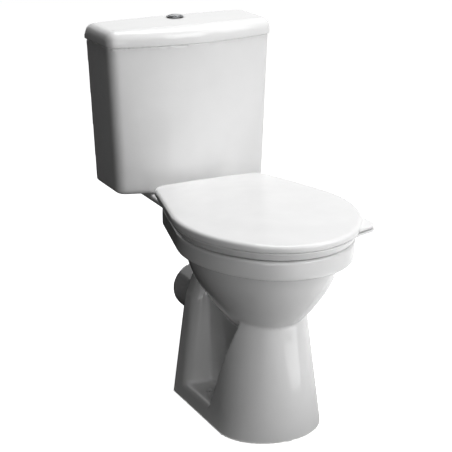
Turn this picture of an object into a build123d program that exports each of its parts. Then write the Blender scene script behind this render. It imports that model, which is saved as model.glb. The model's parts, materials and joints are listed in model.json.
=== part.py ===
from build123d import *

import os
from math import cos, radians

os.makedirs("parts", exist_ok=True)

# A close coupled toilet, in millimetres. X is the width, -Y the front, +Z up.
# The floor is at z = 0, and x = 0 is the plane of symmetry of pan and cistern.

# Levels
RIM_TOP = 402.0
DECK_TOP = 400.0
DECK_THICK = 16.0
CISTERN_BASE = 402.0
CISTERN_TOP = 711.0
CISTERN_LID_TOP = 748.5
SEAT_BASE = 405.5
SEAT_TOP = 421.5
LID_BASE = 422.5
LID_CROWN = 443.0
STANDING_GAP = 0.3
OVERCUT = 1.0

# Plan of the seat, which the rim follows
BACK = 335.0
SEAT_FRONT = -335.0
NOSE_RADIUS = 150.0
FLANK_RADIUS = 245.0
SIDE_SLOPE = 14.0
SEAT_BACK = 138.5
SEAT_CORNER = 32.0
RING_BACK = 104.0
RING_CORNER = 28.0
RING_TAPER = 11.0
RING_HALF_WIDTH = 111.0
RING_FRONT = -262.0
RING_INNER_BACK = 14.0
RIM_INSET = 11.5
RIM_BACK = 105.0
RIM_CORNER = 18.0

# Pan rim and bowl
BAND_BOTTOM = 364.0
BAND_ROUND = 4.0
RIM_EDGE = 4.0
OPENING_HALF_WIDTH = 118.0
OPENING_FRONT = -272.0
OPENING_BACK = 17.0
BOWL_MIDDLE = -110.0
RIM_LIP = 16.0
GROOVE_DEPTH = 12.0
GROOVE_BOTTOM = 370.0
WALL = 13.0

# Pan deck and neck
DECK_HALF_WIDTH = 104.0
DECK_FRONT = 90.0
DECK_BACK = 318.0
DECK_CORNER = 18.0
DECK_UNDER_ROUND = 7.0
DECK_EDGE = 3.0
NECK_SIDE = [(20, 392), (308, 392), (308, 362), (250, 348), (196, 284), (92, 250), (70, 226), (20, 226)]
CHANNEL_HALF_WIDTH = 36.0
CHANNEL_TOP = 383.0
CHANNEL_SIDE = [(34, CHANNEL_TOP), (298, CHANNEL_TOP), (298, 374), (246, 361), (190, 335), (34, 335)]

# Pedestal
FOOT_HALF_WIDTH = 108.0
FOOT_FRONT = -229.0
FOOT_MIDDLE = -132.0
FOOT_REAR = 66.0
FOOT_HEIGHT = 38.0
LEDGE_ROUND = 14.0
LEDGE_THICK = 14.0
WAIST_LEVEL = 240.0
WAIST_HALF_WIDTH = 84.0
WAIST_FRONT = -205.0
WAIST_MIDDLE = -112.0
SHELL_EDGE_LOW = -83.0
SHELL_EDGE_HIGH = -160.0
WEB_HALF_WIDTH = 48.0
WEB_SIDE = [(-135, LEDGE_THICK), (86, LEDGE_THICK), (86, 232), (-135, 232)]
COLUMN_LEVELS = [
    (0, 109, 22, 92),
    (216, 78, 34, 92),
    (262, 58, 42, 92),
]
COLUMN_FRONT_CORNER = 24.0
COLUMN_REAR_CORNER = 14.0
SPIGOT_RADIUS = 51.0
SPIGOT_BORE = 43.0
SPIGOT_LEVEL = 180.0
SPIGOT_END = 207.7
SPIGOT_ROOT = 60.0
BORE_ROOT = 130.0
TRAP_RADIUS = 37.0
TRAP_ROUTE = [(-95, 185), (-34, 94), (38, 94), (44, 232), (118, 184), (206, SPIGOT_LEVEL)]
TRAP_BEND = 42.0
FLOOR_HOLE_X = 73.5
FLOOR_HOLE_Y = -20.0
FLOOR_HOLE = 4.5

# Cistern
CISTERN_BASE_HALF_WIDTH = 168.5
CISTERN_TOP_HALF_WIDTH = 182.0
CISTERN_FRONT = 173.5
CISTERN_FRONT_LEAN = 4.0
CISTERN_BOW = 31.0
CISTERN_CORNER = 24.0
CISTERN_FOOT_ROUND = 7.0
CISTERN_WALL = 10.0
CISTERN_FLOOR = 12.0
LID_OVERHANG = 3.0
LID_ROUND = 24.0
LID_TOP_RADIUS = 4500.0
LID_PANEL = 14.0
LID_REST = 14.0

# Coupling between cistern and deck
BOLT_X = 70.0
BOLT_Y = 240.0
BOLT_RADIUS = 4.0
BOLT_HOLE = 5.0
COUPLING_RECESS = 56.0
COUPLING_RECESS_DEPTH = 8.0
INLET_HOLE = 36.0
DOUGHNUT_BORE = 42.0
DOUGHNUT_CLEAR = 0.5
PAD_RADIUS = 13.0
PLATE_RADIUS = 12.0
BOLT_HEAD = 7.5
BOLT_HEAD_HEIGHT = 5.5

# Flush valve
VALVE_Y = 256.0
VALVE_TAIL = 28.0
VALVE_BORE = 23.0
VALVE_FLANGE = 40.0
VALVE_HOLE = 29.0
VALVE_TAIL_END = 374.0
BACKNUT_HEIGHT = 9.0
CAGE_GUIDE = 558.0
CAGE_LEG_RADIUS = 35.5
WASHER_THICK = 2.0
TOWER_TOP = 640.0
TUBE_RADIUS = 12.0
TUBE_BORE = 9.5
TUBE_TOP = 612.0
HOOK_BASE = 598.0
ROCKER_X = -8.0
ROCKER_Z = 651.0
ROCKER_HALF = 2.0

# Push button
BUTTON_Y = 287.0
BUTTON_RADIUS = 14.0
BUTTON_TOP = CISTERN_LID_TOP + 4.0
BUTTON_BASE = CISTERN_LID_TOP - 16.0
BUTTON_SPLIT = -4.0
HOUSING_FLANGE = 18.0
HOUSING_TOP = CISTERN_LID_TOP + 2.5
HOUSING_SLEEVE = 16.8
HOUSING_BASE = CISTERN_LID_TOP - 38.0
HOUSING_NUT = 24.0
FULL_ROD_X = 8.0
HALF_ROD_X = -9.0
HALF_ROD_END = 696.0
CRANK_LEVEL = 684.0
CRANK_HEIGHT = 6.0
ROD_RADIUS = 2.5

# Fill valve
INLET_X = 128.0
INLET_Y = 262.0
INLET_THREAD = 10.5
INLET_END = 352.0
INLET_RELIEF = 9.5
INLET_BORE = 5.0
INLET_FLANGE = 17.0
RISER_RADIUS = 9.0
RISER_TOP = 596.0
HEAD_RADIUS = 15.0
HEAD_TOP = 620.0
FLOAT_RADIUS = 30.0
FLOAT_BASE = 505.0
FLOAT_TOP = 560.0
LEVER_X = 132.0
LEVER_Z = 627.0
LINK_X = 102.0
LINK_RADIUS = 1.8

# Seat hinge
HINGE_X = 77.5
HINGE_Y = 121.0
HINGE_Z = 422.0
HINGE_BARREL = 8.0
HINGE_PIN = 4.0
HINGE_HOLE = 6.5
HINGE_BOLT = 5.0
HINGE_BOLT_END = 366.0
POST_HALF = 8.0
HINGE_POCKET = 19.0
HINGE_SHELF = 384.0
HINGE_BASE = 13.0
HINGE_BASE_TOP = 403.0
KNUCKLE = 10.0
KNUCKLE_GAP = 1.0
RUN_CLEAR = 0.05
CROSS_PIN = 2.0


def oval(half_width, front, middle, back, level):
    """An egg of two half ellipses that meet at their widest."""
    with BuildSketch(Plane.XY.offset(level)) as shape:
        with BuildLine():
            EllipticalCenterArc((0, middle), half_width, middle - front, start_angle=180, arc_size=180)
            EllipticalCenterArc((0, middle), half_width, back - middle, start_angle=0, arc_size=180)
        make_face()
    return shape.sketch


def seat_outline(inset, back, corner, level):
    """The outline of the seat lid, or of what lies under it, drawn in by an inset."""
    nose = Vector(0, SEAT_FRONT + NOSE_RADIUS)
    flank = nose + Vector(1, -1).normalized() * (NOSE_RADIUS - FLANK_RADIUS)
    with BuildSketch(Plane.XY.offset(level)) as shape:
        with BuildLine():
            CenterArc(nose, NOSE_RADIUS - inset, -90, 45)
            side = CenterArc(flank, FLANK_RADIUS - inset, -45, 45 + SIDE_SLOPE)
            run = (back - (side @ 1).Y) / cos(radians(SIDE_SLOPE))
            edge = Line(side @ 1, side @ 1 + (side % 1) * run)
            Line(edge @ 1, (0, back))
            mirror(about=Plane.YZ)
        make_face()
        rear = shape.vertices().group_by(Axis.Y)[-1]
        fillet([corner_point for corner_point in rear if abs(corner_point.X) > 1], corner)
    return shape.sketch


def lip_outline(level):
    """The lifting lip on the right front flank of seat and lid."""
    with BuildSketch(Plane.XY.offset(level)) as shape:
        with BuildLine():
            bump = Spline(
                [(164, -196), (154.5, -266), (103, -288.5)],
                tangents=[(-0.25, -0.97), (-0.72, -0.7)],
            )
            Line(bump @ 1, bump @ 0)
        make_face()
    return shape.sketch


def cistern_outline(half_width, front, back, level):
    """The bowed outline of the cistern at one level."""
    with BuildSketch(Plane.XY.offset(level)) as shape:
        with BuildLine():
            rear = Line((-half_width, back), (half_width, back))
            side = Line(rear @ 1, (half_width, front + CISTERN_BOW))
            bow = ThreePointArc(side @ 1, (0, front), (-half_width, front + CISTERN_BOW))
            Line(bow @ 1, rear @ 0)
        make_face()
        corners = shape.vertices().sort_by(Axis.Y)[:2]
        fillet(corners, CISTERN_CORNER)
    return shape.sketch


def foot_outline(inset, level):
    """The pedestal at one level, a blunt nose with straight flanks, drawn in by an inset."""
    rise = level / WAIST_LEVEL
    half_width = FOOT_HALF_WIDTH + (WAIST_HALF_WIDTH - FOOT_HALF_WIDTH) * rise - inset
    front = FOOT_FRONT + (WAIST_FRONT - FOOT_FRONT) * rise + inset
    middle = FOOT_MIDDLE + (WAIST_MIDDLE - FOOT_MIDDLE) * rise
    with BuildSketch(Plane.XY.offset(level)) as shape:
        with BuildLine():
            nose = EllipticalCenterArc((0, middle), half_width, middle - front, start_angle=180, arc_size=180)
            flank = Line(nose @ 1, (half_width, FOOT_REAR - inset))
            rear = Line(flank @ 1, (-half_width, FOOT_REAR - inset))
            Line(rear @ 1, nose @ 0)
        make_face()
    return shape.sketch


def column_outline(half_width, front, back, level):
    """The rear column at one level, with softer corners in front than behind."""
    with BuildSketch(Plane.XY.offset(level)) as shape:
        with Locations((0, (front + back) / 2)):
            Rectangle(2 * half_width, back - front)
        fillet(shape.vertices().group_by(Axis.Y)[0], COLUMN_FRONT_CORNER)
        fillet(shape.vertices().group_by(Axis.Y)[-1], COLUMN_REAR_CORNER)
    return shape.sketch


def side_plate(points, half_width):
    """A shape drawn from the side and given its thickness across the middle plane."""
    with BuildPart() as shape:
        with BuildSketch(Plane.YZ):
            with BuildLine():
                Polyline(*points, close=True)
            make_face()
        extrude(amount=half_width, both=True)
    return shape.part


def recess(forward, floor):
    """What lies behind the pedestal shell, over the foot ledge."""
    far = 400
    top = WAIST_LEVEL + 1
    lean = (SHELL_EDGE_HIGH - SHELL_EDGE_LOW) / (WAIST_LEVEL - FOOT_HEIGHT)
    low = SHELL_EDGE_LOW + lean * (floor - FOOT_HEIGHT) - forward
    high = SHELL_EDGE_LOW + lean * (top - FOOT_HEIGHT) - forward
    return side_plate([(low, floor), (high, top), (far, top), (far, floor)], far)


def ring(x, y, low, high, inner, outer):
    """A flat ring."""
    with BuildPart() as shape:
        with BuildSketch(Plane.XY.offset(low)):
            with Locations((x, y)):
                Circle(outer)
                Circle(inner, mode=Mode.SUBTRACT)
        extrude(amount=high - low)
    return shape.part


def hex_nut(x, y, low, high, inner, outer):
    """A six sided nut with a plain bore."""
    with BuildPart() as shape:
        with BuildSketch(Plane.XY.offset(low)):
            with Locations((x, y)):
                RegularPolygon(outer, 6)
                Circle(inner, mode=Mode.SUBTRACT)
        extrude(amount=high - low)
    return shape.part


def block(x0, x1, y0, y1, z0, z1):
    """A plain block between two corners."""
    with BuildPart() as shape:
        with BuildSketch(Plane.XY.offset(z0)):
            with Locations(((x0 + x1) / 2, (y0 + y1) / 2)):
                Rectangle(x1 - x0, y1 - y0)
        extrude(amount=z1 - z0)
    return shape.part


def barrel(x0, x1, y, z, radius):
    """A cylinder that lies along X."""
    with BuildPart() as shape:
        with BuildSketch(Plane.YZ.offset(x0)):
            with Locations((y, z)):
                Circle(radius)
        extrude(amount=x1 - x0)
    return shape.part


def cross_pin(x, y0, y1, z, radius):
    """A cylinder that lies along Y."""
    with BuildPart() as shape:
        with BuildSketch(Plane.ZX.offset(y0)):
            with Locations((z, x)):
                Circle(radius)
        extrude(amount=y1 - y0)
    return shape.part


def rod(x, y, low, high, radius):
    """An upright cylinder."""
    with BuildPart() as shape:
        with BuildSketch(Plane.XY.offset(low)):
            with Locations((x, y)):
                Circle(radius)
        extrude(amount=high - low)
    return shape.part


def save(piece, name):
    piece.part.label = name
    export_step(piece.part, f"parts/{name}.step")


# Rim band with its rounded underside
with BuildPart() as rim_band:
    add(seat_outline(RIM_INSET, RIM_BACK, RIM_CORNER, BAND_BOTTOM))
    extrude(amount=RIM_TOP - BAND_BOTTOM)
    fillet(rim_band.faces().sort_by(Axis.Z)[0].edges(), BAND_ROUND)
    fillet(rim_band.faces().sort_by(Axis.Z)[-1].edges(), RIM_EDGE)

# Bowl: level, half width, front and back of the outside, and the same of the inside
BOWL_OUTSIDE = [
    (BAND_BOTTOM + 4, 142, -299, 84),
    (325, 131, -281, 88),
    (290, 115, -261, 86),
    (258, 95, -236, 74),
    (230, 75, -207, 54),
    (208, 55, -172, 36),
    (192, 42, -140, 20),
]
BOWL_INSIDE = [
    (BAND_BOTTOM, 127, -281, 21),
    (325, 118, -268, 15),
    (290, 102, -248, 12),
    (258, 82, -222, 8),
    (230, 61, -190, 4),
    (200, 40, -146, -4),
    (150, 36, -104, -6),
    (95, 33, -76, -6),
]
BOWL_NOSE = 75.0
SUMP_NOSE = 40.0
with BuildPart() as bowl_outside:
    for level, half_width, front, back in BOWL_OUTSIDE:
        add(oval(half_width, front, max(BOWL_MIDDLE, front + BOWL_NOSE), back, level))
    loft()
with BuildPart() as bowl_inside:
    for level, half_width, front, back in BOWL_INSIDE:
        add(oval(half_width, front, max(BOWL_MIDDLE, front + SUMP_NOSE), back, level))
    loft()

# Deck under the cistern, with a rounded underside
with BuildPart() as deck:
    with BuildSketch(Plane.XY.offset(DECK_TOP - DECK_THICK)):
        with Locations((0, (DECK_FRONT + DECK_BACK) / 2)):
            RectangleRounded(2 * DECK_HALF_WIDTH, DECK_BACK - DECK_FRONT, DECK_CORNER)
    extrude(amount=DECK_THICK)
    fillet(deck.faces().sort_by(Axis.Z)[0].edges(), DECK_UNDER_ROUND)
    fillet(deck.faces().sort_by(Axis.Z)[-1].edges(), DECK_EDGE)

# Pedestal: a hollow flared shell in front, a low foot behind it
with BuildPart() as pedestal:
    add(foot_outline(0, 0))
    add(foot_outline(0, WAIST_LEVEL))
    loft(ruled=True)
    add(recess(0, FOOT_HEIGHT), mode=Mode.SUBTRACT)
    ledge = pedestal.faces().filter_by(Axis.Z).sort_by(Axis.Z)[1]
    sides = [edge for edge in ledge.edges() if abs(edge.center().X) > FOOT_HALF_WIDTH / 2]
    fillet(sides, LEDGE_ROUND)
with BuildPart() as pedestal_hollow:
    add(foot_outline(WALL, 0))
    add(foot_outline(WALL, WAIST_LEVEL))
    loft(ruled=True)
    add(recess(WALL, FOOT_HEIGHT - LEDGE_THICK), mode=Mode.SUBTRACT)

# Rear column that stands round the trap and dies into the neck
with BuildPart() as column:
    for level, half_width, front, back in COLUMN_LEVELS:
        add(column_outline(half_width, front, back, level))
    loft(ruled=True)

# Trapway, from the bowl under the water seal and over the weir to the outlet
with BuildPart() as trapway:
    with BuildLine(Plane.YZ):
        route = FilletPolyline(*TRAP_ROUTE, radius=TRAP_BEND)
    with BuildSketch(Plane(route @ 0, z_dir=route % 0)):
        Circle(TRAP_RADIUS)
    sweep()

with BuildPart() as pan:
    add(pedestal.part)
    add(pedestal_hollow.part, mode=Mode.SUBTRACT)
    add(column.part)
    add(side_plate(WEB_SIDE, WEB_HALF_WIDTH))
    add(bowl_outside.part)
    add(side_plate(NECK_SIDE, WEB_HALF_WIDTH))
    with BuildSketch(Plane.XZ.offset(-SPIGOT_END)):
        with Locations((0, SPIGOT_LEVEL)):
            Circle(SPIGOT_RADIUS)
    extrude(amount=SPIGOT_END - SPIGOT_ROOT)
    add(rim_band.part)
    add(deck.part)
    # The bowl, its mouth and the groove under the rim
    add(bowl_inside.part, mode=Mode.SUBTRACT)
    add(oval(OPENING_HALF_WIDTH, OPENING_FRONT, BOWL_MIDDLE, OPENING_BACK, BAND_BOTTOM))
    extrude(amount=RIM_TOP - BAND_BOTTOM + OVERCUT, mode=Mode.SUBTRACT)
    groove_front = OPENING_FRONT - GROOVE_DEPTH
    groove_back = OPENING_BACK + GROOVE_DEPTH
    add(oval(OPENING_HALF_WIDTH + GROOVE_DEPTH, groove_front, BOWL_MIDDLE, groove_back, GROOVE_BOTTOM))
    extrude(amount=RIM_TOP - RIM_LIP - GROOVE_BOTTOM, mode=Mode.SUBTRACT)
    # The flush channel and its inlet
    add(side_plate(CHANNEL_SIDE, CHANNEL_HALF_WIDTH), mode=Mode.SUBTRACT)
    add(rod(0, VALVE_Y, CHANNEL_TOP - OVERCUT, DECK_TOP + OVERCUT, INLET_HOLE), mode=Mode.SUBTRACT)
    recess_floor = DECK_TOP - COUPLING_RECESS_DEPTH
    add(rod(0, VALVE_Y, recess_floor, DECK_TOP + OVERCUT, COUPLING_RECESS), mode=Mode.SUBTRACT)
    # The trapway and the bore of the outlet
    add(trapway.part, mode=Mode.SUBTRACT)
    with BuildSketch(Plane.XZ.offset(-SPIGOT_END)):
        with Locations((0, SPIGOT_LEVEL)):
            Circle(SPIGOT_BORE)
    extrude(amount=SPIGOT_END - BORE_ROOT, mode=Mode.SUBTRACT)
    # Holes for the seat hinges, the cistern bolts and the floor screws
    for side in (-1, 1):
        pocket = rod(side * HINGE_X, HINGE_Y, BAND_BOTTOM - OVERCUT, HINGE_SHELF, HINGE_POCKET)
        add(pocket, mode=Mode.SUBTRACT)
        add(rod(side * HINGE_X, HINGE_Y, BAND_BOTTOM, RIM_TOP + OVERCUT, HINGE_HOLE), mode=Mode.SUBTRACT)
        add(rod(side * BOLT_X, BOLT_Y, BAND_BOTTOM, DECK_TOP + OVERCUT, BOLT_HOLE), mode=Mode.SUBTRACT)
        floor_hole = rod(side * FLOOR_HOLE_X, FLOOR_HOLE_Y, -OVERCUT, FOOT_HEIGHT + OVERCUT, FLOOR_HOLE)
        add(floor_hole, mode=Mode.SUBTRACT)
save(pan, "pan")

# Cistern, a tapered tank with a bowed front
with BuildPart() as cistern:
    add(cistern_outline(CISTERN_BASE_HALF_WIDTH, CISTERN_FRONT + CISTERN_FRONT_LEAN, BACK, CISTERN_BASE))
    add(cistern_outline(CISTERN_TOP_HALF_WIDTH, CISTERN_FRONT, BACK, CISTERN_TOP))
    loft(ruled=True)
    fillet(cistern.faces().sort_by(Axis.Z)[0].edges(), CISTERN_FOOT_ROUND)
    base_inside = CISTERN_BASE_HALF_WIDTH - CISTERN_WALL
    front_inside = CISTERN_FRONT + CISTERN_WALL
    back_inside = BACK - CISTERN_WALL
    floor_level = CISTERN_BASE + CISTERN_FLOOR
    add(cistern_outline(base_inside, front_inside + CISTERN_FRONT_LEAN, back_inside, floor_level))
    add(cistern_outline(CISTERN_TOP_HALF_WIDTH - CISTERN_WALL, front_inside, back_inside, CISTERN_TOP))
    loft(ruled=True, mode=Mode.SUBTRACT)
    add(rod(0, VALVE_Y, CISTERN_BASE, floor_level + OVERCUT, VALVE_HOLE), mode=Mode.SUBTRACT)
    add(rod(INLET_X, INLET_Y, CISTERN_BASE, floor_level + OVERCUT, INLET_THREAD + 0.5), mode=Mode.SUBTRACT)
    for side in (-1, 1):
        add(rod(side * BOLT_X, BOLT_Y, CISTERN_BASE, floor_level + OVERCUT, BOLT_HOLE), mode=Mode.SUBTRACT)
save(cistern, "cistern")

# Cistern lid, hollow below, with the button hole
with BuildPart() as cistern_lid:
    lid_half_width = CISTERN_TOP_HALF_WIDTH + LID_OVERHANG
    lid_front = CISTERN_FRONT - LID_OVERHANG
    add(cistern_outline(lid_half_width, lid_front, BACK, CISTERN_TOP))
    extrude(amount=CISTERN_LID_TOP - CISTERN_TOP)
    fillet(cistern_lid.faces().sort_by(Axis.Z)[-1].edges(), LID_ROUND)
    with Locations((0, BACK / 2, CISTERN_LID_TOP - LID_TOP_RADIUS)):
        Cylinder(LID_TOP_RADIUS, 2 * BACK, rotation=(90, 0, 0), mode=Mode.INTERSECT)
    add(cistern_outline(lid_half_width - LID_REST, lid_front + LID_REST, BACK - LID_REST, CISTERN_TOP))
    extrude(amount=CISTERN_LID_TOP - LID_PANEL - CISTERN_TOP, mode=Mode.SUBTRACT)
    add(rod(0, BUTTON_Y, CISTERN_TOP, CISTERN_LID_TOP + OVERCUT, HOUSING_SLEEVE), mode=Mode.SUBTRACT)
save(cistern_lid, "cistern_lid")

# Rubber between cistern and deck
with BuildPart() as coupling_doughnut:
    doughnut_radius = COUPLING_RECESS - DOUGHNUT_CLEAR
    add(ring(0, VALVE_Y, DECK_TOP - COUPLING_RECESS_DEPTH, CISTERN_BASE, DOUGHNUT_BORE, doughnut_radius))
save(coupling_doughnut, "coupling_doughnut")

with BuildPart() as cistern_pads:
    for side in (-1, 1):
        add(ring(side * BOLT_X, BOLT_Y, DECK_TOP, CISTERN_BASE, BOLT_HOLE, PAD_RADIUS))
save(cistern_pads, "cistern_pads")

# Two bolts hold the cistern down: seal, bolt, plate washer and wing nut
SEAL_TOP = floor_level + 3
PLATE_TOP = DECK_TOP - DECK_THICK
PLATE_BASE = PLATE_TOP - 2
WING_BASE = PLATE_BASE - 7
with BuildPart() as coupling_bolt_seals:
    for side in (-1, 1):
        add(ring(side * BOLT_X, BOLT_Y, floor_level, SEAL_TOP, BOLT_RADIUS, PAD_RADIUS))
save(coupling_bolt_seals, "coupling_bolt_seals")

with BuildPart() as coupling_bolts:
    for side in (-1, 1):
        add(rod(side * BOLT_X, BOLT_Y, WING_BASE - 3, SEAL_TOP, BOLT_RADIUS))
        add(hex_nut(side * BOLT_X, BOLT_Y, SEAL_TOP, SEAL_TOP + BOLT_HEAD_HEIGHT, 0.8, BOLT_HEAD))
    fillet(coupling_bolts.faces().sort_by(Axis.Z)[:2].edges(), 1)
save(coupling_bolts, "coupling_bolts")

with BuildPart() as coupling_plate_washers:
    for side in (-1, 1):
        add(ring(side * BOLT_X, BOLT_Y, PLATE_BASE, PLATE_TOP, BOLT_RADIUS, PLATE_RADIUS))
save(coupling_plate_washers, "coupling_plate_washers")

with BuildPart() as coupling_wing_nuts:
    for side in (-1, 1):
        add(rod(side * BOLT_X, BOLT_Y, WING_BASE, PLATE_BASE, 8))
        for wing in (-1, 1):
            root = BOLT_Y + wing * 6
            tip = BOLT_Y + wing * 17
            low, high = sorted((root, tip))
            add(block(side * BOLT_X - 1.6, side * BOLT_X + 1.6, low, high, WING_BASE - 2, PLATE_BASE - 1.5))
        add(rod(side * BOLT_X, BOLT_Y, WING_BASE - 3, PLATE_BASE + 1, BOLT_RADIUS), mode=Mode.SUBTRACT)
save(coupling_wing_nuts, "coupling_wing_nuts")

# Flush valve: flange and tail through the floor, a cage of four legs and a top plate
FLANGE_BASE = floor_level + WASHER_THICK
FLANGE_TOP = FLANGE_BASE + 6
VALVE_LIP = FLANGE_TOP + 2
HOOK_X0 = -31.0
HOOK_X1 = -26.0
with BuildPart() as flush_valve_body:
    add(ring(0, VALVE_Y, FLANGE_BASE, FLANGE_TOP, VALVE_BORE, VALVE_FLANGE))
    add(ring(0, VALVE_Y, VALVE_TAIL_END, FLANGE_BASE, VALVE_BORE, VALVE_TAIL))
    add(ring(0, VALVE_Y, FLANGE_TOP, VALVE_LIP, VALVE_BORE, VALVE_BORE + 3))
    for turn in (45, 135, 225, 315):
        with BuildSketch(Plane.XY.offset(FLANGE_TOP)):
            with Locations((0, VALVE_Y)):
                with PolarLocations(CAGE_LEG_RADIUS, 1, start_angle=turn):
                    Rectangle(6, 8)
        extrude(amount=TOWER_TOP - FLANGE_TOP)
    add(ring(0, VALVE_Y, CAGE_GUIDE - 2, CAGE_GUIDE + 2, TUBE_RADIUS + 0.5, VALVE_FLANGE))
    add(ring(0, VALVE_Y, TOWER_TOP - 4, TOWER_TOP, 5, VALVE_FLANGE))
    slot = block(HOOK_X0 - 1, HOOK_X1 + 1, VALVE_Y - 6, VALVE_Y + 6, TOWER_TOP - 5, TOWER_TOP + 1)
    add(slot, mode=Mode.SUBTRACT)
    for side in (-1, 1):
        lug = VALVE_Y + side * 6.5
        add(block(ROCKER_X - 5, ROCKER_X + 5, lug - 2, lug + 2, TOWER_TOP, ROCKER_Z + 5))
    add(cross_pin(ROCKER_X, VALVE_Y - 10, VALVE_Y + 10, ROCKER_Z, CROSS_PIN), mode=Mode.SUBTRACT)
save(flush_valve_body, "flush_valve_body")

with BuildPart() as flush_valve_washer:
    add(ring(0, VALVE_Y, floor_level, FLANGE_BASE, VALVE_TAIL, VALVE_FLANGE + 3))
save(flush_valve_washer, "flush_valve_washer")

with BuildPart() as flush_valve_backnut:
    add(ring(0, VALVE_Y, CISTERN_BASE - BACKNUT_HEIGHT, CISTERN_BASE, VALVE_TAIL, VALVE_FLANGE + 1))
save(flush_valve_backnut, "flush_valve_backnut")

with BuildPart() as flush_rocker_pin:
    add(cross_pin(ROCKER_X, VALVE_Y - 9.5, VALVE_Y + 9.5, ROCKER_Z, CROSS_PIN))
save(flush_rocker_pin, "flush_rocker_pin")

with BuildPart() as flush_rocker:
    add(block(-24, 12, VALVE_Y - 3, VALVE_Y + 3, ROCKER_Z - ROCKER_HALF, ROCKER_Z + ROCKER_HALF))
    add(cross_pin(ROCKER_X, VALVE_Y - 3, VALVE_Y + 3, ROCKER_Z, 4.5))
    add(cross_pin(ROCKER_X, VALVE_Y - 4, VALVE_Y + 4, ROCKER_Z, CROSS_PIN + RUN_CLEAR), mode=Mode.SUBTRACT)
save(flush_rocker, "flush_rocker")

# Lifting core: overflow tube on a disc, with a hook over the nose of the rocker
CORE_BASE = VALVE_LIP + STANDING_GAP + 4
HOOK_SEAT = ROCKER_Z + ROCKER_HALF + 1
with BuildPart() as flush_core:
    add(ring(0, VALVE_Y, CORE_BASE, TUBE_TOP, TUBE_BORE, TUBE_RADIUS))
    add(ring(0, VALVE_Y, CORE_BASE, CORE_BASE + 5, TUBE_BORE, 30))
    add(block(HOOK_X0, -TUBE_RADIUS + 1, VALVE_Y - 4, VALVE_Y + 4, HOOK_BASE, HOOK_BASE + 6))
    add(block(HOOK_X0, HOOK_X1, VALVE_Y - 4, VALVE_Y + 4, HOOK_BASE, HOOK_SEAT + 4))
    add(block(HOOK_X0, -18, VALVE_Y - 4, VALVE_Y + 4, HOOK_SEAT, HOOK_SEAT + 4))
    add(rod(0, VALVE_Y, CORE_BASE - OVERCUT, TUBE_TOP + OVERCUT, TUBE_BORE), mode=Mode.SUBTRACT)
save(flush_core, "flush_core")

with BuildPart() as flush_core_seal:
    add(ring(0, VALVE_Y, VALVE_LIP + STANDING_GAP, CORE_BASE, 18, 29))
save(flush_core_seal, "flush_core_seal")

# Push button: housing with its nut, two half buttons and their rods
with BuildPart() as button_housing:
    bore = BUTTON_RADIUS + STANDING_GAP
    add(ring(0, BUTTON_Y, CISTERN_LID_TOP, HOUSING_TOP, bore, HOUSING_FLANGE))
    fillet(button_housing.faces().sort_by(Axis.Z)[-1].outer_wire().edges(), 1.5)
    add(ring(0, BUTTON_Y, HOUSING_BASE, CISTERN_LID_TOP, bore, HOUSING_SLEEVE))
    add(ring(0, BUTTON_Y, HOUSING_BASE, HOUSING_BASE + 3, 1, HOUSING_SLEEVE))
    for rod_x in (FULL_ROD_X, HALF_ROD_X):
        hole = rod(rod_x, BUTTON_Y, HOUSING_BASE - OVERCUT, HOUSING_BASE + 4, ROD_RADIUS + STANDING_GAP)
        add(hole, mode=Mode.SUBTRACT)
save(button_housing, "button_housing")

with BuildPart() as button_housing_nut:
    nut_top = CISTERN_LID_TOP - LID_PANEL
    add(hex_nut(0, BUTTON_Y, nut_top - 8, nut_top, HOUSING_SLEEVE, HOUSING_NUT))
save(button_housing_nut, "button_housing_nut")


def half_button(x0, x1):
    """A segment of the round button, with a dished top."""
    with BuildPart() as shape:
        add(rod(0, BUTTON_Y, BUTTON_BASE, BUTTON_TOP, BUTTON_RADIUS))
        add(block(x0, x1, BUTTON_Y - 20, BUTTON_Y + 20, BUTTON_BASE, BUTTON_TOP), mode=Mode.INTERSECT)
        fillet(shape.faces().sort_by(Axis.Z)[-1].edges(), 1)
    return shape.part


with BuildPart() as full_flush_button:
    add(half_button(BUTTON_SPLIT + 0.4, 20))
save(full_flush_button, "full_flush_button")

with BuildPart() as half_flush_button:
    add(half_button(-20, BUTTON_SPLIT - 0.4))
save(half_flush_button, "half_flush_button")

with BuildPart() as full_flush_rod:
    crank_top = CRANK_LEVEL + CRANK_HEIGHT
    crank_x0 = FULL_ROD_X - ROD_RADIUS
    crank_x1 = FULL_ROD_X + ROD_RADIUS
    add(rod(FULL_ROD_X, BUTTON_Y, CRANK_LEVEL, BUTTON_BASE, ROD_RADIUS))
    add(block(crank_x0, crank_x1, VALVE_Y, BUTTON_Y, CRANK_LEVEL, crank_top))
    add(rod(FULL_ROD_X, VALVE_Y, ROCKER_Z + ROCKER_HALF + 1, crank_top, ROD_RADIUS))
save(full_flush_rod, "full_flush_rod")

with BuildPart() as half_flush_rod:
    add(rod(HALF_ROD_X, BUTTON_Y, HALF_ROD_END, BUTTON_BASE, ROD_RADIUS))
save(half_flush_rod, "half_flush_rod")

# Fill valve: riser on its tail, head, float cup, link and lever
RISER_BASE = floor_level + 2.5
with BuildPart() as fill_valve_body:
    add(rod(INLET_X, INLET_Y, INLET_END, RISER_BASE, INLET_THREAD))
    add(rod(INLET_X, INLET_Y, RISER_BASE, RISER_BASE + 5, INLET_FLANGE))
    add(rod(INLET_X, INLET_Y, RISER_BASE + 5, RISER_TOP, RISER_RADIUS))
    add(rod(INLET_X, INLET_Y, INLET_END - OVERCUT, RISER_TOP - 8, INLET_BORE), mode=Mode.SUBTRACT)
    relief_top = CISTERN_BASE - BACKNUT_HEIGHT - 0.5
    relief = ring(INLET_X, INLET_Y, relief_top - 1.5, relief_top, INLET_RELIEF, INLET_THREAD + OVERCUT)
    add(relief, mode=Mode.SUBTRACT)
save(fill_valve_body, "fill_valve_body")

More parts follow.
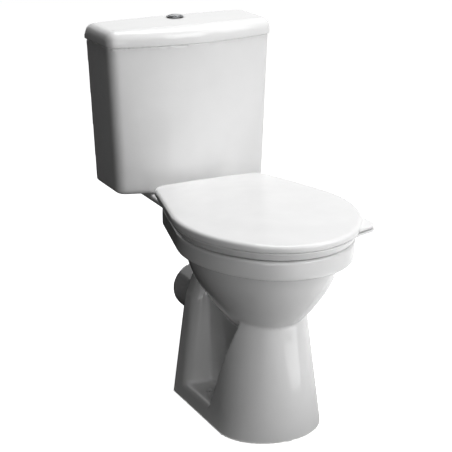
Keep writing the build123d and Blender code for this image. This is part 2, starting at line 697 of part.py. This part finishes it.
with BuildPart() as fill_valve_washer:
    add(ring(INLET_X, INLET_Y, floor_level, RISER_BASE, INLET_THREAD, INLET_FLANGE))
save(fill_valve_washer, "fill_valve_washer")

with BuildPart() as fill_valve_backnut:
    add(hex_nut(INLET_X, INLET_Y, CISTERN_BASE - BACKNUT_HEIGHT, CISTERN_BASE, INLET_THREAD, INLET_FLANGE))
save(fill_valve_backnut, "fill_valve_backnut")

with BuildPart() as fill_valve_head:
    add(rod(INLET_X, INLET_Y, RISER_TOP, HEAD_TOP, HEAD_RADIUS))
    fillet(fill_valve_head.faces().sort_by(Axis.Z)[-1].edges(), 2)
    for side in (-1, 1):
        lug = INLET_Y + side * 6.5
        add(block(LEVER_X - 5, LEVER_X + 5, lug - 2, lug + 2, HEAD_TOP - 1, LEVER_Z + 5))
    add(cross_pin(LEVER_X, INLET_Y - 10, INLET_Y + 10, LEVER_Z, CROSS_PIN), mode=Mode.SUBTRACT)
save(fill_valve_head, "fill_valve_head")

with BuildPart() as fill_valve_lever_pin:
    add(cross_pin(LEVER_X, INLET_Y - 9.5, INLET_Y + 9.5, LEVER_Z, CROSS_PIN))
save(fill_valve_lever_pin, "fill_valve_lever_pin")

with BuildPart() as fill_valve_lever:
    add(block(LINK_X - 4, LEVER_X + 4, INLET_Y - 3, INLET_Y + 3, LEVER_Z - 2.5, LEVER_Z + 2.5))
    add(cross_pin(LEVER_X, INLET_Y - 3, INLET_Y + 3, LEVER_Z, 4.5))
    add(cross_pin(LEVER_X, INLET_Y - 4, INLET_Y + 4, LEVER_Z, CROSS_PIN + RUN_CLEAR), mode=Mode.SUBTRACT)
save(fill_valve_lever, "fill_valve_lever")

with BuildPart() as float_cup:
    add(ring(INLET_X, INLET_Y, FLOAT_BASE, FLOAT_TOP, RISER_RADIUS + 0.5, FLOAT_RADIUS))
    fillet(float_cup.faces().sort_by(Axis.Z)[-1].outer_wire().edges(), 3)
    hollow = ring(INLET_X, INLET_Y, FLOAT_BASE, FLOAT_TOP - 3, RISER_RADIUS + 3, FLOAT_RADIUS - 2.5)
    add(hollow, mode=Mode.SUBTRACT)
save(float_cup, "float_cup")

with BuildPart() as float_link:
    add(rod(LINK_X, INLET_Y, FLOAT_TOP, LEVER_Z - 3.1, LINK_RADIUS))
save(float_link, "float_link")

# Seat ring on four buffers, with two hinge knuckles
RING_LIP = 4.0
SEAT_BUFFERS = [(136, -60), (98, -240)]
SEAT_BUFFER = 7.0
with BuildPart() as seat_ring:
    add(seat_outline(RING_TAPER + 1, RING_BACK - 3, RING_CORNER, SEAT_BASE))
    add(seat_outline(1, RING_BACK, RING_CORNER, SEAT_TOP))
    loft(ruled=True)
    fillet(seat_ring.faces().sort_by(Axis.Z)[-1].edges(), 2)
    add(oval(RING_HALF_WIDTH, RING_FRONT, BOWL_MIDDLE, RING_INNER_BACK, SEAT_BASE - OVERCUT))
    extrude(amount=SEAT_TOP - SEAT_BASE + 2 * OVERCUT, mode=Mode.SUBTRACT)
    inner = seat_ring.faces().sort_by(Axis.Z)[-1].inner_wires()[0].edges()
    fillet(inner, 6)
    add(lip_outline(SEAT_TOP - RING_LIP - 1))
    extrude(amount=RING_LIP)
    for side in (-1, 1):
        near = side * (HINGE_X + POST_HALF + KNUCKLE_GAP)
        far = near + side * KNUCKLE
        x0, x1 = sorted((near, far))
        add(barrel(x0, x1, HINGE_Y, HINGE_Z, HINGE_BARREL))
        add(block(x0, x1, RING_BACK - 12, HINGE_Y, HINGE_Z - HINGE_BARREL, SEAT_TOP - 2.5))
        add(barrel(x0 - 1, x1 + 1, HINGE_Y, HINGE_Z, HINGE_PIN + RUN_CLEAR), mode=Mode.SUBTRACT)
save(seat_ring, "seat_ring")

# Seat lid, a crowned shell over the ring
CROWN_RADIUS = 4000.0
CROWN_Y = -100.0
LID_SKIRT = 5.0
LID_SHELL = 5.5
LID_BLANK = 30.0
LID_EDGE = 7.0
LID_LIP = 7.0
LID_BUFFER_X = 128.0
LID_BUFFER_Y = -150.0
LID_BUFFER_TOP = 432.0
LID_BUFFER = 6.0
POST_WINDOW = 433.0
with BuildPart() as lid_hollow:
    add(seat_outline(LID_SKIRT, SEAT_BACK - LID_SKIRT, SEAT_CORNER - LID_SKIRT, LID_BASE))
    extrude(amount=LID_BLANK)
    with Locations((0, CROWN_Y, LID_CROWN - LID_SHELL - CROWN_RADIUS)):
        Sphere(CROWN_RADIUS, mode=Mode.INTERSECT)

with BuildPart() as seat_lid:
    add(seat_outline(0, SEAT_BACK, SEAT_CORNER, LID_BASE))
    extrude(amount=LID_BLANK)
    with Locations((0, CROWN_Y, LID_CROWN - CROWN_RADIUS)):
        Sphere(CROWN_RADIUS, mode=Mode.INTERSECT)
    fillet(seat_lid.faces().sort_by(Axis.Z)[-1].edges(), LID_EDGE)
    add(lip_outline(LID_BASE))
    extrude(amount=LID_LIP)
    add(lid_hollow.part, mode=Mode.SUBTRACT)
    plate = LID_CROWN - LID_SHELL
    for side in (-1, 1):
        add(rod(side * LID_BUFFER_X, LID_BUFFER_Y, LID_BUFFER_TOP, plate, LID_BUFFER + 3))
        near = side * (HINGE_X - POST_HALF - KNUCKLE_GAP)
        far = near - side * KNUCKLE
        x0, x1 = sorted((near, far))
        add(barrel(x0, x1, HINGE_Y, HINGE_Z, HINGE_BARREL))
        add(block(x0, x1, HINGE_Y - HINGE_BARREL, HINGE_Y + HINGE_BARREL, HINGE_Z, POST_WINDOW + 1))
        add(barrel(x0 - 1, x1 + 1, HINGE_Y, HINGE_Z, HINGE_PIN + RUN_CLEAR), mode=Mode.SUBTRACT)
        x0, x1 = sorted((near, side * (HINGE_X + POST_HALF + KNUCKLE_GAP)))
        add(block(x0, x1, HINGE_Y, SEAT_BACK + OVERCUT, LID_BASE - OVERCUT, POST_WINDOW), mode=Mode.SUBTRACT)
save(seat_lid, "seat_lid")

with BuildPart() as seat_buffers:
    for side in (-1, 1):
        for x, y in SEAT_BUFFERS:
            add(rod(side * x, y, RIM_TOP + STANDING_GAP, SEAT_BASE, SEAT_BUFFER))
save(seat_buffers, "seat_buffers")

with BuildPart() as lid_buffers:
    for side in (-1, 1):
        add(rod(side * LID_BUFFER_X, LID_BUFFER_Y, SEAT_TOP + STANDING_GAP, LID_BUFFER_TOP, LID_BUFFER))
save(lid_buffers, "lid_buffers")

# Hinges: posts on the deck, pins, and a stud, washer and nut under each post
with BuildPart() as hinge_posts:
    for side in (-1, 1):
        x0, x1 = side * HINGE_X - POST_HALF, side * HINGE_X + POST_HALF
        add(rod(side * HINGE_X, HINGE_Y, DECK_TOP, HINGE_BASE_TOP, HINGE_BASE))
        add(block(x0, x1, HINGE_Y - POST_HALF, HINGE_Y + POST_HALF, HINGE_BASE_TOP, HINGE_Z))
        add(barrel(x0, x1, HINGE_Y, HINGE_Z, HINGE_BARREL))
        add(barrel(x0 - 1, x1 + 1, HINGE_Y, HINGE_Z, HINGE_PIN), mode=Mode.SUBTRACT)
save(hinge_posts, "hinge_posts")

with BuildPart() as hinge_pins:
    for side in (-1, 1):
        reach = POST_HALF + KNUCKLE_GAP + KNUCKLE
        add(barrel(side * HINGE_X - reach, side * HINGE_X + reach, HINGE_Y, HINGE_Z, HINGE_PIN))
save(hinge_pins, "hinge_pins")

with BuildPart() as hinge_bolts:
    for side in (-1, 1):
        add(rod(side * HINGE_X, HINGE_Y, HINGE_BOLT_END, DECK_TOP, HINGE_BOLT))
save(hinge_bolts, "hinge_bolts")

with BuildPart() as hinge_washers:
    for side in (-1, 1):
        add(ring(side * HINGE_X, HINGE_Y, HINGE_SHELF - 2, HINGE_SHELF, HINGE_BOLT, HINGE_BASE))
save(hinge_washers, "hinge_washers")

with BuildPart() as hinge_nuts:
    for side in (-1, 1):
        add(hex_nut(side * HINGE_X, HINGE_Y, HINGE_SHELF - 11, HINGE_SHELF - 2, HINGE_BOLT, HINGE_BASE - 2))
save(hinge_nuts, "hinge_nuts")
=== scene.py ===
import json
from math import cos, pi, radians, sin

import bpy
from mathutils import Matrix, Vector


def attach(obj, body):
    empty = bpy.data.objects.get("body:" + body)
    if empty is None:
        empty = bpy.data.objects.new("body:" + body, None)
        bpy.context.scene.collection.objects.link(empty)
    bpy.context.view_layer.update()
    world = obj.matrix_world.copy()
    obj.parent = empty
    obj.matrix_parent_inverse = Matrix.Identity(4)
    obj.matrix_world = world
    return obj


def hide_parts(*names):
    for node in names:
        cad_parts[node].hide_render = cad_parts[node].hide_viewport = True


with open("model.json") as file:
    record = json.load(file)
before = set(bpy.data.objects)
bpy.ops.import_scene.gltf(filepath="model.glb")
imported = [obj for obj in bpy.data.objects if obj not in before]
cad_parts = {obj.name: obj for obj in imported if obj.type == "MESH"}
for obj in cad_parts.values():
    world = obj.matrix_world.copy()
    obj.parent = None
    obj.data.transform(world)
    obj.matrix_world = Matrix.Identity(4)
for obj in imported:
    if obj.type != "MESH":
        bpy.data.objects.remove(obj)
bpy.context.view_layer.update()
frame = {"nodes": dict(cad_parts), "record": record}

nodes = frame["nodes"]
mm = 0.001
print("frame loaded with", len(nodes), "nodes")

# Camera, fitted to the photograph's 452 by 452 frame
cameraSet = {
    "target": (0.0, 0.1085, 0.400),
    "azimuth": -25.32,  # degrees, 0 looks along +Y
    "elevation": 17.05,
    "roll": 0.55,
    "distance": 3.0,
    "farClip": 50.0,
    "frame": 452,
    "focalPixels": 1460.15,
    "targetPixel": (213.1, 198.3),
    "sensor": 36.0,
}


def addCamera():
    turn = radians(cameraSet["azimuth"])
    tilt = radians(cameraSet["elevation"])
    back = Vector((sin(turn) * cos(tilt), -cos(turn) * cos(tilt), sin(tilt)))
    right = Vector((cos(turn), sin(turn), 0.0))
    up = back.cross(right)
    roll = radians(cameraSet["roll"])
    right, up = right * cos(roll) - up * sin(roll), up * cos(roll) + right * sin(roll)
    target = Vector(cameraSet["target"])
    place = target + back * cameraSet["distance"]
    bpy.ops.object.camera_add()
    camera = bpy.context.object
    camera.name = "studioCamera"
    camera.matrix_world = Matrix.Translation(place) @ Matrix((right, up, back)).transposed().to_4x4()
    lens = camera.data
    size = cameraSet["frame"]
    lens.sensor_width = cameraSet["sensor"]
    lens.lens = cameraSet["focalPixels"] * cameraSet["sensor"] / size
    lens.shift_x = (size / 2 - cameraSet["targetPixel"][0]) / size
    lens.shift_y = (cameraSet["targetPixel"][1] - size / 2) / size
    lens.clip_end = cameraSet["farClip"]
    bpy.context.scene.camera = camera


addCamera()
bpy.context.scene.view_settings.view_transform = "Standard"
print("camera placed")


# Helpers for the finishes
def hexColour(code):
    parts = [int(code[i:i + 2], 16) / 255 for i in (1, 3, 5)]
    linear = [p / 12.92 if p <= 0.04045 else ((p + 0.055) / 1.055) ** 2.4 for p in parts]
    return (*linear, 1.0)


def addNode(tree, kind, settings=None, links=None, **attributes):
    node = tree.nodes.new(kind)
    for name, value in attributes.items():
        setattr(node, name, value)
    for name, value in (settings or {}).items():
        node.inputs[name].default_value = value
    for name, socket in (links or {}).items():
        tree.links.new(socket, node.inputs[name])
    return node


def startMaterial(name):
    material = bpy.data.materials.new(name)
    material.use_nodes = True
    tree = material.node_tree
    return material, tree, tree.nodes["Principled BSDF"]


noiseSpan = (0.3, 0.7)  # where most values of a noise lie
evenStretch = (1.0, 1.0, 1.0)


def addGrain(tree, place, look):  # cloudy pattern, with the size of its grain in millimetres
    stretch = {"Scale": look.get("stretch", evenStretch)}
    drawn = addNode(tree, "ShaderNodeMapping", stretch, {"Vector": place}).outputs[0]
    settings = {"Scale": 1.0 / (look["grain"] * mm), "Detail": look["detail"], "Roughness": 0.5}
    return addNode(tree, "ShaderNodeTexNoise", settings, {"Vector": drawn}).outputs["Fac"]


def addTone(tree, place, tone):  # colour that drifts between two shades
    ramp = addNode(tree, "ShaderNodeValToRGB", links={"Fac": addGrain(tree, place, tone)})
    for stop, position, shade in zip(ramp.color_ramp.elements, noiseSpan, tone["shades"]):
        stop.position = position
        stop.color = hexColour(shade)
    return ramp.outputs["Color"]


def addGloss(tree, place, gloss):  # shine that drifts between two roughnesses
    settings = {"From Min": noiseSpan[0], "From Max": noiseSpan[1]}
    settings["To Min"], settings["To Max"] = gloss["roughness"]
    grain = addGrain(tree, place, gloss)
    return addNode(tree, "ShaderNodeMapRange", settings, {"Value": grain}).outputs["Result"]


def addRelief(tree, place, relief):  # fine unevenness of the surface
    links = {"Height": addGrain(tree, place, relief)}
    if "edge" in relief:  # rounds the shading of sharp edges, in millimetres
        rounding = {"Radius": relief["edge"] * mm}
        edge = addNode(tree, "ShaderNodeBevel", rounding, samples=relief["edgeSamples"])
        links["Normal"] = edge.outputs[0]
    settings = {"Strength": relief["strength"], "Distance": relief["depth"] * mm}
    return addNode(tree, "ShaderNodeBump", settings, links).outputs["Normal"]


def addSlope(tree):  # 1 where a face looks up, -1 where it looks down
    side = addNode(tree, "ShaderNodeNewGeometry").outputs["Normal"]
    return addNode(tree, "ShaderNodeSeparateXYZ", links={"Vector": side}).outputs["Z"]


# Vitreous china: a deep, nearly flawless gloss over white clay, and bare buff clay under the foot
chinaSet = {
    "tone": {"grain": 90.0, "detail": 2.0, "shades": ("#f1f1f1", "#f5f5f5")},
    "gloss": {"grain": 45.0, "detail": 3.0, "roughness": (0.05, 0.1)},
    "relief": {"grain": 14.0, "detail": 2.0, "strength": 0.12, "depth": 0.25, "edge": 1.5, "edgeSamples": 4},
    "ior": 1.5,
    "bareTone": {"grain": 4.0, "detail": 4.0, "shades": ("#cfc3b0", "#dfd5c4")},
    "bareRoughness": 0.85,
    "bareHeight": {"From Min": 1.2 * mm, "From Max": 2.4 * mm, "To Min": 1.0, "To Max": 0.0},
    "bareSlope": {"From Min": -0.8, "From Max": -0.5, "To Min": 1.0, "To Max": 0.0},
}


def glazedChina():
    material, tree, shader = startMaterial("vitreousChinaGlaze")
    place = addNode(tree, "ShaderNodeTexCoord").outputs["Object"]
    height = addNode(tree, "ShaderNodeSeparateXYZ", links={"Vector": place}).outputs["Z"]
    low = addNode(tree, "ShaderNodeMapRange", chinaSet["bareHeight"], {"Value": height}).outputs["Result"]
    slope = addSlope(tree)
    down = addNode(tree, "ShaderNodeMapRange", chinaSet["bareSlope"], {"Value": slope}).outputs["Result"]
    bare = addNode(tree, "ShaderNodeMath", {}, {0: low, 1: down}, operation="MULTIPLY").outputs[0]
    clay = addTone(tree, place, chinaSet["bareTone"])
    shades = {0: bare, 6: addTone(tree, place, chinaSet["tone"]), 7: clay}
    colour = addNode(tree, "ShaderNodeMix", {}, shades, data_type="RGBA")
    tree.links.new(colour.outputs[2], shader.inputs["Base Color"])
    gloss = addGloss(tree, place, chinaSet["gloss"])
    rough = addNode(tree, "ShaderNodeMix", {"B": chinaSet["bareRoughness"]}, {"Factor": bare, "A": gloss})
    tree.links.new(rough.outputs["Result"], shader.inputs["Roughness"])
    tree.links.new(addRelief(tree, place, chinaSet["relief"]), shader.inputs["Normal"])
    shader.inputs["IOR"].default_value = chinaSet["ior"]
    return material


# Chrome plate: grey mirror on the button's top faces; its sides, the faces that do not look up, are painted
# near black as painted shade
plateSet = {
    "plate": {"grain": 6.0, "detail": 2.0, "shades": ("#85878a", "#949699")},
    # near-black painted shade for the button's sides
    "paintedShadeSides": {"grain": 3.0, "detail": 2.0, "shades": ("#0e0e0f", "#161617")},
    "gloss": {"grain": 1.2, "detail": 3.0, "stretch": (1.0, 0.15, 1.0), "roughness": (0.08, 0.2)},
    "plateVersusPaintedShadeSlope": {"From Min": 0.25, "From Max": 0.75, "To Min": 0.0, "To Max": 1.0},
}


def chromePlate():
    material, tree, shader = startMaterial("chromePlatedButton")
    place = addNode(tree, "ShaderNodeTexCoord").outputs["Object"]
    slope = addSlope(tree)
    # painted shade: where a face does not look up, the grey plate gives way to near-black colour and no metal
    plateVersusPaintedShade = addNode(tree, "ShaderNodeMapRange", plateSet["plateVersusPaintedShadeSlope"], {"Value": slope}).outputs["Result"]
    paintedShadeSides = addTone(tree, place, plateSet["paintedShadeSides"])
    shades = {0: plateVersusPaintedShade, 6: paintedShadeSides, 7: addTone(tree, place, plateSet["plate"])}
    colour = addNode(tree, "ShaderNodeMix", {}, shades, data_type="RGBA")
    tree.links.new(colour.outputs[2], shader.inputs["Base Color"])
    tree.links.new(plateVersusPaintedShade, shader.inputs["Metallic"])
    tree.links.new(addGloss(tree, place, plateSet["gloss"]), shader.inputs["Roughness"])
    return material


# Thermoset seat: white and even, with a softer shine than the china
seatSet = {
    "name": "thermosetSeatMoulding",
    "tone": {"grain": 60.0, "detail": 2.0, "shades": ("#f3f3f3", "#f7f7f7")},
    "gloss": {"grain": 25.0, "detail": 4.0, "roughness": (0.13, 0.2)},
    "relief": {"grain": 9.0, "detail": 2.0, "strength": 0.1, "depth": 0.12, "edge": 1.5, "edgeSamples": 6},
    "sockets": {"IOR": 1.52},
}
# Nitrile rubber: near black and dull, with a fine grain
rubberSet = {
    "name": "nitrileRubberSeal",
    "tone": {"grain": 5.0, "detail": 4.0, "shades": ("#141414", "#1f1f1f")},
    "gloss": {"grain": 2.0, "detail": 4.0, "roughness": (0.62, 0.82)},
    "relief": {"grain": 0.8, "detail": 3.0, "strength": 0.3, "depth": 0.1},
}
# Zinc plated steel: light grey metal with a drawn, slightly clouded shine
steelSet = {
    "name": "zincPlatedSteel",
    "tone": {"grain": 3.0, "detail": 4.0, "shades": ("#a9abad", "#bcbdbf")},
    "gloss": {"grain": 1.0, "detail": 4.0, "stretch": (1.0, 1.0, 0.2), "roughness": (0.24, 0.42)},
    "relief": {"grain": 0.5, "detail": 3.0, "strength": 0.2, "depth": 0.04},
    "sockets": {"Metallic": 1.0},
}
# Moulded nylon: warm off-white with a satin skin
nylonSet = {
    "name": "mouldedNylonFixing",
    "tone": {"grain": 12.0, "detail": 3.0, "shades": ("#dcdad3", "#e6e4de")},
    "gloss": {"grain": 4.0, "detail": 3.0, "roughness": (0.38, 0.52)},
    "relief": {"grain": 0.9, "detail": 3.0, "strength": 0.2, "depth": 0.08},
}
# Moulded polypropylene: cool pale grey, a little waxy
valveSet = {
    "name": "mouldedPolypropyleneValve",
    "tone": {"grain": 20.0, "detail": 3.0, "shades": ("#cbd1d5", "#d8dde0")},
    "gloss": {"grain": 6.0, "detail": 3.0, "roughness": (0.3, 0.45)},
    "relief": {"grain": 1.2, "detail": 3.0, "strength": 0.2, "depth": 0.08},
}


def plainFinish(finish):
    material, tree, shader = startMaterial(finish["name"])
    place = addNode(tree, "ShaderNodeTexCoord").outputs["Object"]
    tree.links.new(addTone(tree, place, finish["tone"]), shader.inputs["Base Color"])
    tree.links.new(addGloss(tree, place, finish["gloss"]), shader.inputs["Roughness"])
    tree.links.new(addRelief(tree, place, finish["relief"]), shader.inputs["Normal"])
    for socket, value in finish.get("sockets", {}).items():
        shader.inputs[socket].default_value = value
    return material


finishes = {
    "glazed_china": glazedChina(),
    "seat_plastic": plainFinish(seatSet),
    "chrome_plate": chromePlate(),
    "seal_rubber": plainFinish(rubberSet),
    "bright_steel": plainFinish(steelSet),
    "fixing_nylon": plainFinish(nylonSet),
    "valve_plastic": plainFinish(valveSet),
}
for part in frame["record"]["subparts"]:
    mesh = nodes[part["node"]].data
    mesh.materials.clear()
    mesh.materials.append(finishes[part["material_slot"]])

# Softened copies: clay and glaze leave soft edges on the china, and the seat lid runs out softly into its lip
castSet = {  # millimetres; all of a copy is evened, then it is softened between the levels
    "pan": {"voxel": 2.6, "faces": 190000, "evenRounds": 2, "softRounds": 6, "levels": (4.0, 410.0)},
    "cistern": {"voxel": 3.0, "faces": 120000, "evenRounds": 2, "softRounds": 4, "levels": (390.0, 700.0)},
    "cistern_lid": {"voxel": 2.2, "faces": 70000, "evenRounds": 2, "softRounds": 28,
                    "levels": (722.0, 760.0)},
    "seat_lid": {"voxel": 1.7, "faces": 120000, "evenRounds": 1, "softRounds": 16,
                 "levels": (420.0, 445.0), "beyond": 300.0,  # softened only past this reach along lipWay
                 "body": "lid", "slot": "seat_plastic"},
}
lipWay = Vector((0.5, -0.87, 0.0))  # level, from the origin towards the seat's lip
spongePress = 0.5
weldGap = 0.01 * mm


def sponge(piece, rounds, group=""):
    wiping = piece.modifiers.new("sponge", "SMOOTH")
    wiping.factor = spongePress
    wiping.iterations = rounds
    wiping.vertex_group = group
    bpy.ops.object.modifier_apply(modifier=wiping.name)


def isSoftened(cast, point):
    low, high = (level * mm for level in cast["levels"])
    atLip = "beyond" not in cast or lipWay.dot(point) > cast["beyond"] * mm
    return low < point.z < high and atLip


def addCastPiece(nodeName, cast):
    piece = bpy.data.objects.new(nodeName + "Cast", nodes[nodeName].data.copy())
    bpy.context.collection.objects.link(piece)
    bpy.ops.object.select_all(action="DESELECT")
    bpy.context.view_layer.objects.active = piece
    piece.select_set(True)
    bpy.ops.object.mode_set(mode="EDIT")
    bpy.ops.mesh.select_all(action="SELECT")
    bpy.ops.mesh.remove_doubles(threshold=weldGap)
    bpy.ops.object.mode_set(mode="OBJECT")
    clay = piece.modifiers.new("clay", "REMESH")
    clay.mode = "VOXEL"
    clay.voxel_size = cast["voxel"] * mm
    bpy.ops.object.modifier_apply(modifier=clay.name)
    softened = piece.vertex_groups.new(name="softened")
    softened.add([v.index for v in piece.data.vertices if isSoftened(cast, v.co)], 1.0, "REPLACE")
    sponge(piece, cast["evenRounds"])
    sponge(piece, cast["softRounds"], softened.name)
    thinning = piece.modifiers.new("thinning", "DECIMATE")
    thinning.ratio = min(1.0, cast["faces"] / (2 * len(piece.data.polygons)))  # two triangles to a face
    bpy.ops.object.modifier_apply(modifier=thinning.name)
    bpy.ops.object.shade_smooth()
    piece.data.materials.clear()
    piece.data.materials.append(finishes[cast.get("slot", "glazed_china")])
    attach(piece, cast.get("body", "root"))
    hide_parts(nodeName)
    print(piece.name, "has", len(piece.data.polygons), "faces")


for nodeName, cast in castSet.items():
    addCastPiece(nodeName, cast)

# Floor: matt and pale under the lamps, and white to the camera and in the glaze
floorSet = {"half": 6.0, "tone": "#ededed", "roughness": 0.9, "glow": 0.97}


def whiteRays(tree):  # 1 for the rays that find the room white
    rays = addNode(tree, "ShaderNodeLightPath").outputs
    direct = {0: rays["Is Camera Ray"], 1: rays["Is Glossy Ray"]}
    seen = addNode(tree, "ShaderNodeMath", {}, direct, operation="MAXIMUM").outputs[0]
    through = {0: seen, 1: rays["Is Transmission Ray"]}
    return addNode(tree, "ShaderNodeMath", {}, through, operation="MAXIMUM").outputs[0]


def addFloor():
    bpy.ops.mesh.primitive_plane_add(size=2 * floorSet["half"])
    floor = bpy.context.object
    floor.name = "studioFloor"
    material, tree, shader = startMaterial("paleStudioFloor")
    shader.inputs["Base Color"].default_value = hexColour(floorSet["tone"])
    shader.inputs["Roughness"].default_value = floorSet["roughness"]
    shader.inputs["Specular IOR Level"].default_value = 0.0
    glow = addNode(tree, "ShaderNodeEmission", {"Strength": floorSet["glow"]})
    seen = addNode(tree, "ShaderNodeMixShader", {}, {0: whiteRays(tree), 2: glow.outputs[0]})
    both = addNode(tree, "ShaderNodeAddShader", {}, {0: shader.outputs[0], 1: seen.outputs[0]})
    tree.links.new(both.outputs[0], tree.nodes["Material Output"].inputs["Surface"])
    floor.data.materials.append(material)


# Soft edged dark cards keep the left side in shade, as in the photograph
flagSet = {
    "tone": "#0c0c0c",
    "cards": [  # fades: axis of the card, where it is still full and where it has gone, in metres
        {"name": "uprightCard", "middle": (-1.6, 2.0, 1.2), "size": (2.4, 7.2), "tilt": pi / 2,
         "turn": 0.0, "fades": [("Y", -2.4, -3.5), ("X", -0.3, -1.2)]},
        {"name": "lowCard", "middle": (-0.67, 1.86, 0.004), "size": (3.9, 8.0), "tilt": 0.0,
         "turn": cameraSet["azimuth"], "fades": [("X", 1.25, 1.92)]},
    ],
}


def softFelt(card):
    material, tree, shader = startMaterial(card["name"] + "Felt")
    shader.inputs["Base Color"].default_value = hexColour(flagSet["tone"])
    shader.inputs["Roughness"].default_value = 1.0
    shader.inputs["Specular IOR Level"].default_value = 0.0
    place = addNode(tree, "ShaderNodeTexCoord").outputs["Object"]
    axes = addNode(tree, "ShaderNodeSeparateXYZ", links={"Vector": place}).outputs
    for axis, full, gone in card["fades"]:
        fade = {"From Min": full, "From Max": gone, "To Min": 1.0, "To Max": 0.0}
        cover = addNode(tree, "ShaderNodeMapRange", fade, {"Value": axes[axis]})
        clear = addNode(tree, "ShaderNodeBsdfTransparent")
        layers = {0: cover.outputs["Result"], 1: clear.outputs[0], 2: shader.outputs[0]}
        shader = addNode(tree, "ShaderNodeMixShader", {}, layers)
    tree.links.new(shader.outputs[0], tree.nodes["Material Output"].inputs["Surface"])
    return material


def addFlags():
    for card in flagSet["cards"]:
        bpy.ops.mesh.primitive_plane_add(size=1.0)
        flag = bpy.context.object
        flag.name = card["name"]
        flag.scale = (*card["size"], 1.0)
        bpy.ops.object.transform_apply(location=False, rotation=False, scale=True)
        flag.rotation_euler = (0.0, card["tilt"], radians(card["turn"]))
        flag.location = card["middle"]
        flag.visible_camera = False
        flag.visible_shadow = False
        flag.data.materials.append(softFelt(card))


# A bright card on the floor gives the upright streak on the pedestal
glowSet = {
    "corners": [(0.24, -0.50), (0.325, -1.06), (0.36, -0.37), (0.843, -0.606)],
    "height": 0.006,
    "strength": 4.0,
}


def addGlowCard():
    bpy.ops.mesh.primitive_plane_add(size=1.0)
    card = bpy.context.object
    card.name = "glowCard"
    for corner, place in zip(card.data.vertices, glowSet["corners"]):
        corner.co = (*place, glowSet["height"])
    card.visible_camera = False
    card.visible_diffuse = False
    card.visible_shadow = False
    material, tree = startMaterial("glowCardWhite")[:2]
    glow = addNode(tree, "ShaderNodeEmission", {"Strength": glowSet["strength"]})
    tree.links.new(glow.outputs[0], tree.nodes["Material Output"].inputs["Surface"])
    card.data.materials.append(material)


# The room is white to look at and gives little light of its own
worldSet = {"ambient": 0.02, "background": (1.0, 1.0, 1.0, 1.0)}


def addWorld():
    world = bpy.data.worlds.new("whiteStudio")
    bpy.context.scene.world = world
    world.use_nodes = True
    tree = world.node_tree
    background = tree.nodes["Background"]
    background.inputs["Color"].default_value = worldSet["background"]
    levels = {"To Min": worldSet["ambient"], "To Max": 1.0}
    strength = addNode(tree, "ShaderNodeMapRange", levels, {"Value": whiteRays(tree)})
    tree.links.new(strength.outputs["Result"], background.inputs["Strength"])


lampAim = Vector((0.0, 0.0, 0.4))
lampSet = [  # turn from the camera and lift in degrees, reach and size in metres, power in watts
    {"name": "frontRight", "turn": 45.0, "lift": 24.0, "reach": 2.4, "size": (0.9, 1.4), "power": 14.8},
    {"name": "right", "turn": 75.0, "lift": 30.0, "reach": 2.4, "size": (0.9, 1.4), "power": 8.6},
    {"name": "rightHigh", "turn": 95.0, "lift": 65.0, "reach": 2.4, "size": (1.2, 1.2), "power": 17.0},
    {"name": "top", "turn": 0.0, "lift": 89.0, "reach": 2.4, "size": (1.2, 1.2), "power": 24.5},
    {"name": "front", "turn": 10.0, "lift": 25.0, "reach": 2.8, "size": (0.6, 1.0), "power": 2.2},
    {"name": "frontLow", "turn": 5.0, "lift": 3.0, "reach": 2.8, "size": (0.8, 0.6), "power": 3.7},
    {"name": "leftLow", "turn": -18.0, "lift": 4.0, "reach": 2.6, "size": (0.8, 0.8), "power": 4.6},
]


def addLamps():
    for lamp in lampSet:
        turn = radians(cameraSet["azimuth"] + lamp["turn"])
        lift = radians(lamp["lift"])
        away = Vector((sin(turn) * cos(lift), -cos(turn) * cos(lift), sin(lift)))
        bpy.ops.object.light_add(type="AREA")
        light = bpy.context.object
        light.name = "softbox" + lamp["name"][0].upper() + lamp["name"][1:]
        light.location = lampAim + away * lamp["reach"]
        light.rotation_euler = away.to_track_quat("Z", "Y").to_euler()
        light.data.shape = "RECTANGLE"
        light.data.size, light.data.size_y = lamp["size"]
        light.data.energy = lamp["power"]


addFloor()
addFlags()
addGlowCard()
addWorld()
addLamps()
print("floor, cards, world and", len(lampSet), "softboxes placed")
